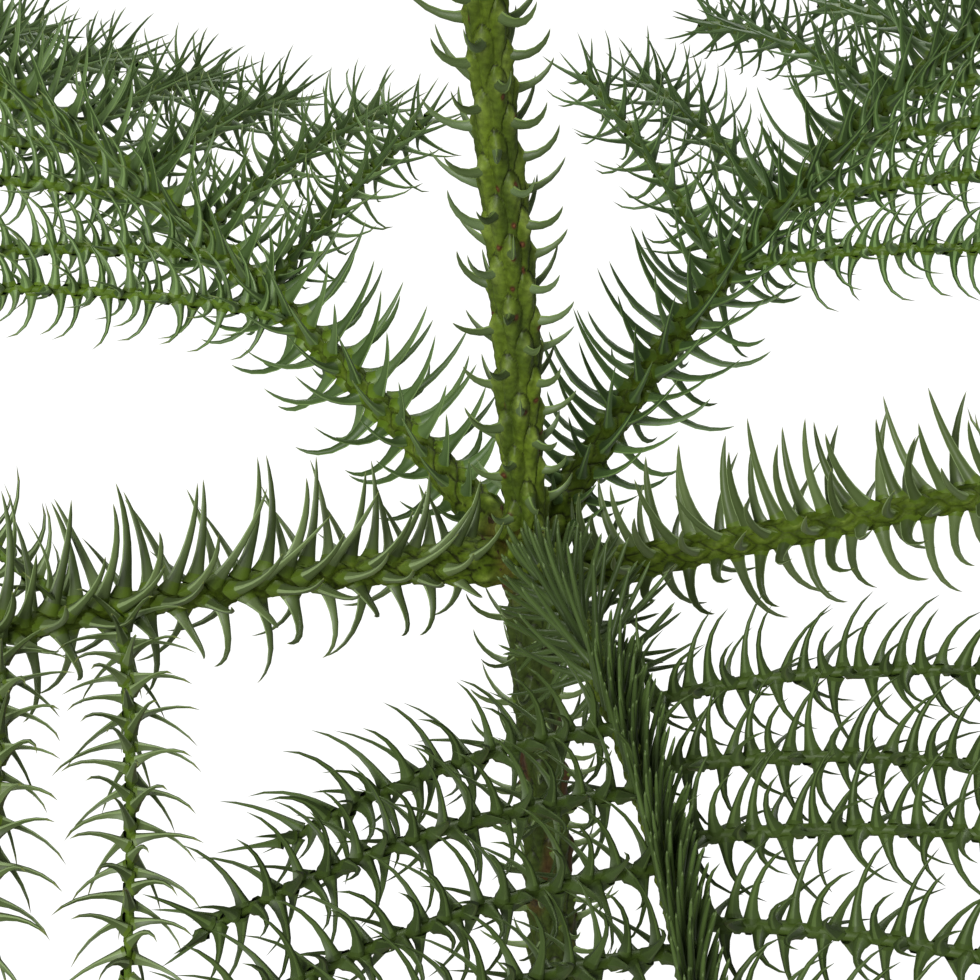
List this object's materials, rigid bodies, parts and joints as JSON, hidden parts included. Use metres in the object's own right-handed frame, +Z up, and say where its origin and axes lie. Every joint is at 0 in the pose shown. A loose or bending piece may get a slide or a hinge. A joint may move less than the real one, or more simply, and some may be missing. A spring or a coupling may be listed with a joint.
{
  "type": "potted norfolk island pine",
  "caption": "Young Norfolk Island pine in a plain clay pot: a slim upright trunk with tiers of level boughs, each a flat spray of needle-clad side shoots, and a top shoot.",
  "frame": {"origin": "centre of the pot's flat underside, on the floor it stands on", "axes": "+Z up along the plant; -Y is the side the picture was taken from; +X is to that view's right"},
  "size_m": [0.4015, 0.3955, 0.8376],
  "materials": {
    "clay": "matte",
    "soil": "matte",
    "trunk_bark": "satin",
    "bough_bark": "satin",
    "needles": "matte"
  },
  "bodies": {
    "root": {"pot": "clay", "potting_soil": "soil", "trunk": "trunk_bark", "first_tier_front_bough": "bough_bark", "first_tier_front_spray": "needles", "first_tier_right_bough": "bough_bark", "first_tier_right_spray": "needles", "first_tier_right_back_bough": "bough_bark", "first_tier_right_back_spray": "needles", "first_tier_left_back_bough": "bough_bark", "first_tier_left_back_spray": "needles", "first_tier_left_bough": "bough_bark", "first_tier_left_spray": "needles", "second_tier_1_bough": "bough_bark", "second_tier_1_spray": "needles", "second_tier_2_bough": "bough_bark", "second_tier_2_spray": "needles", "second_tier_3_bough": "bough_bark", "second_tier_3_spray": "needles", "second_tier_4_bough": "bough_bark", "second_tier_4_spray": "needles", "second_tier_5_bough": "bough_bark", "second_tier_5_spray": "needles", "third_tier_1_bough": "bough_bark", "third_tier_1_spray": "needles", "third_tier_2_bough": "bough_bark", "third_tier_2_spray": "needles", "third_tier_3_bough": "bough_bark", "third_tier_3_spray": "needles", "third_tier_4_bough": "bough_bark", "third_tier_4_spray": "needles", "third_tier_5_bough": "bough_bark", "third_tier_5_spray": "needles", "fourth_tier_1_bough": "bough_bark", "fourth_tier_1_spray": "needles", "fourth_tier_2_bough": "bough_bark", "fourth_tier_2_spray": "needles", "fourth_tier_3_bough": "bough_bark", "fourth_tier_3_spray": "needles", "fourth_tier_4_bough": "bough_bark", "fourth_tier_4_spray": "needles", "fourth_tier_5_bough": "bough_bark", "fourth_tier_5_spray": "needles", "top_shoot": "needles"}
  },
  "joints": []
}
